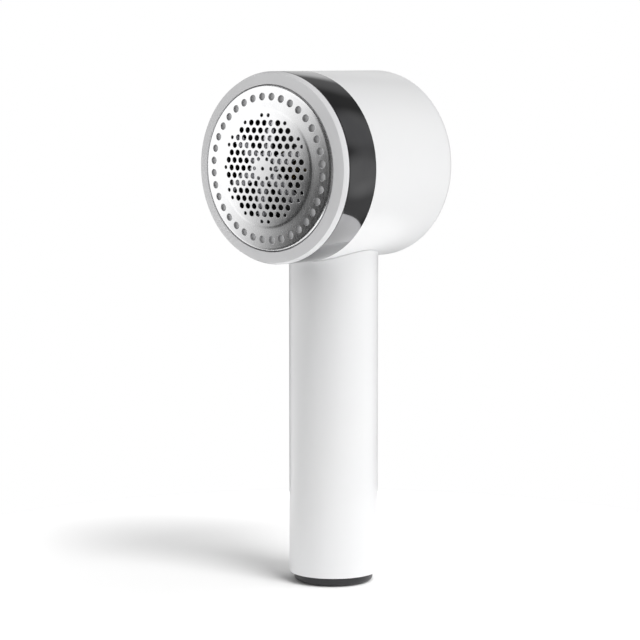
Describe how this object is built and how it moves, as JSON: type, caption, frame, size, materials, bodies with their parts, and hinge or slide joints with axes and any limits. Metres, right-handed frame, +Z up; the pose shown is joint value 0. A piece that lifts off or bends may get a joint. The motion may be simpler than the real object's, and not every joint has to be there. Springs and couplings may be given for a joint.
{
  "type": "cordless fabric shaver",
  "caption": "Cordless fabric shaver with a perforated round cutting face, twist-off locking ring, dark trim band, pull-out lint bin and straight cylindrical handle.",
  "frame": {"origin": "centre of the foot on the handle axis, at the resting face", "axes": "+Z up the handle, -Y the way the cutting face looks, +X to the right seen from behind the head"},
  "size_m": [0.063, 0.0622, 0.1728],
  "materials": {
    "white_shell": "satin moulded white, fine polish",
    "grey_ring": "light grey satin with a polished bevel",
    "gunmetal": "dark mirror plating",
    "foil_steel": "fine satin, etched holes",
    "carrier_grey": "light grey moulded",
    "housing_grey": "dark grey, fine texture",
    "blade_steel": "ground edges",
    "hub_plastic": "black acetal",
    "spring_steel": "drawn wire",
    "bright_steel": "plated steel",
    "brass": "turned",
    "motor_steel": "zinc plated",
    "magnet": "sintered ferrite",
    "lamination": "stacked lamination steel",
    "copper": "enamelled winding wire",
    "motor_plastic": "natural nylon",
    "cover_grey": "grey moulded",
    "smoke_clear": "smoke translucent",
    "rubber_black": "moulded, matt",
    "felt": "oiled felt",
    "trim_metal": "satin plated",
    "button_grey": "satin",
    "lens": "light diffusing",
    "chassis": "dark moulded",
    "cell_wrap": "shrink sleeve",
    "nickel": "spot-welded strip",
    "board_green": "solder mask",
    "chip_black": "epoxy",
    "switch_black": "moulded",
    "base_black": "satin black",
    "wire_red": "insulated lead"
  },
  "bodies": {
    "body": {"trim_band": "gunmetal", "cutter_housing": "housing_grey", "shaft_seal": "felt", "housing_screws": "bright_steel", "motor_bushings": "brass", "motor_can": "motor_steel", "motor_magnets": "magnet", "motor_brushes": "brass", "motor_end_cap": "motor_plastic", "motor_screws": "bright_steel", "motor_cover": "cover_grey", "head_shell": "white_shell", "handle_tube": "white_shell", "button_trim": "trim_metal", "indicator_lens": "lens", "handle_frame": "chassis", "battery_cell": "cell_wrap", "battery_tabs": "nickel", "control_board": "board_green", "board_chips": "chip_black", "board_screws": "bright_steel", "tact_switch": "switch_black", "status_led": "lens", "base_cap": "base_black", "foot_pad": "rubber_black", "base_screws": "bright_steel", "charge_socket": "bright_steel", "charge_board": "board_green", "motor_leads": "wire_red", "battery_leads": "wire_red", "charge_leads": "wire_red"},
    "blade_head": {"blade_disc": "blade_steel", "blade_hub": "hub_plastic"},
    "rotor": {"motor_shaft": "bright_steel", "armature_core": "lamination", "armature_windings": "copper", "commutator": "copper", "drive_coupling": "brass", "blade_spring": "spring_steel"},
    "guard": {"foil_guard": "foil_steel", "foil_carrier": "carrier_grey"},
    "locking_ring": {"bezel_ring": "grey_ring"},
    "bin": {"lint_bin": "smoke_clear", "bin_seal": "rubber_black", "bin_lid": "white_shell"},
    "button": {"power_button": "button_grey"}
  },
  "joints": [
    {"name": "rotor_spin", "type": "hinge", "parent": "body", "child": "rotor", "pos_m": [0, 0, 0.1413], "axis": [0, -1, 0], "continuous": true},
    {"name": "blade_float", "type": "slide", "parent": "rotor", "child": "blade_head", "axis": [0, 1, 0], "range_m": [0, 0.001], "stiffness_N_per_m": 300, "springref_m": -0.001},
    {"name": "guard_release", "type": "slide", "parent": "body", "child": "guard", "axis": [0, -1, 0], "range_m": [0, 0.012]},
    {"name": "ring_turn", "type": "hinge", "parent": "guard", "child": "locking_ring", "pos_m": [0, 0, 0.1413], "axis": [0, -1, 0], "range_deg": [0, 121]},
    {"name": "bin_pull", "type": "slide", "parent": "body", "child": "bin", "axis": [0, 1, 0], "range_m": [0, 0.048]},
    {"name": "button_press", "type": "slide", "parent": "body", "child": "button", "axis": [0, -1, 0], "range_m": [0, 0.0006], "stiffness_N_per_m": 1500, "springref_m": -0.0002}
  ],
  "couplings": [
    {"joint": "ring_turn", "follows": "guard_release", "rad_per_m": 174.53}
  ]
}
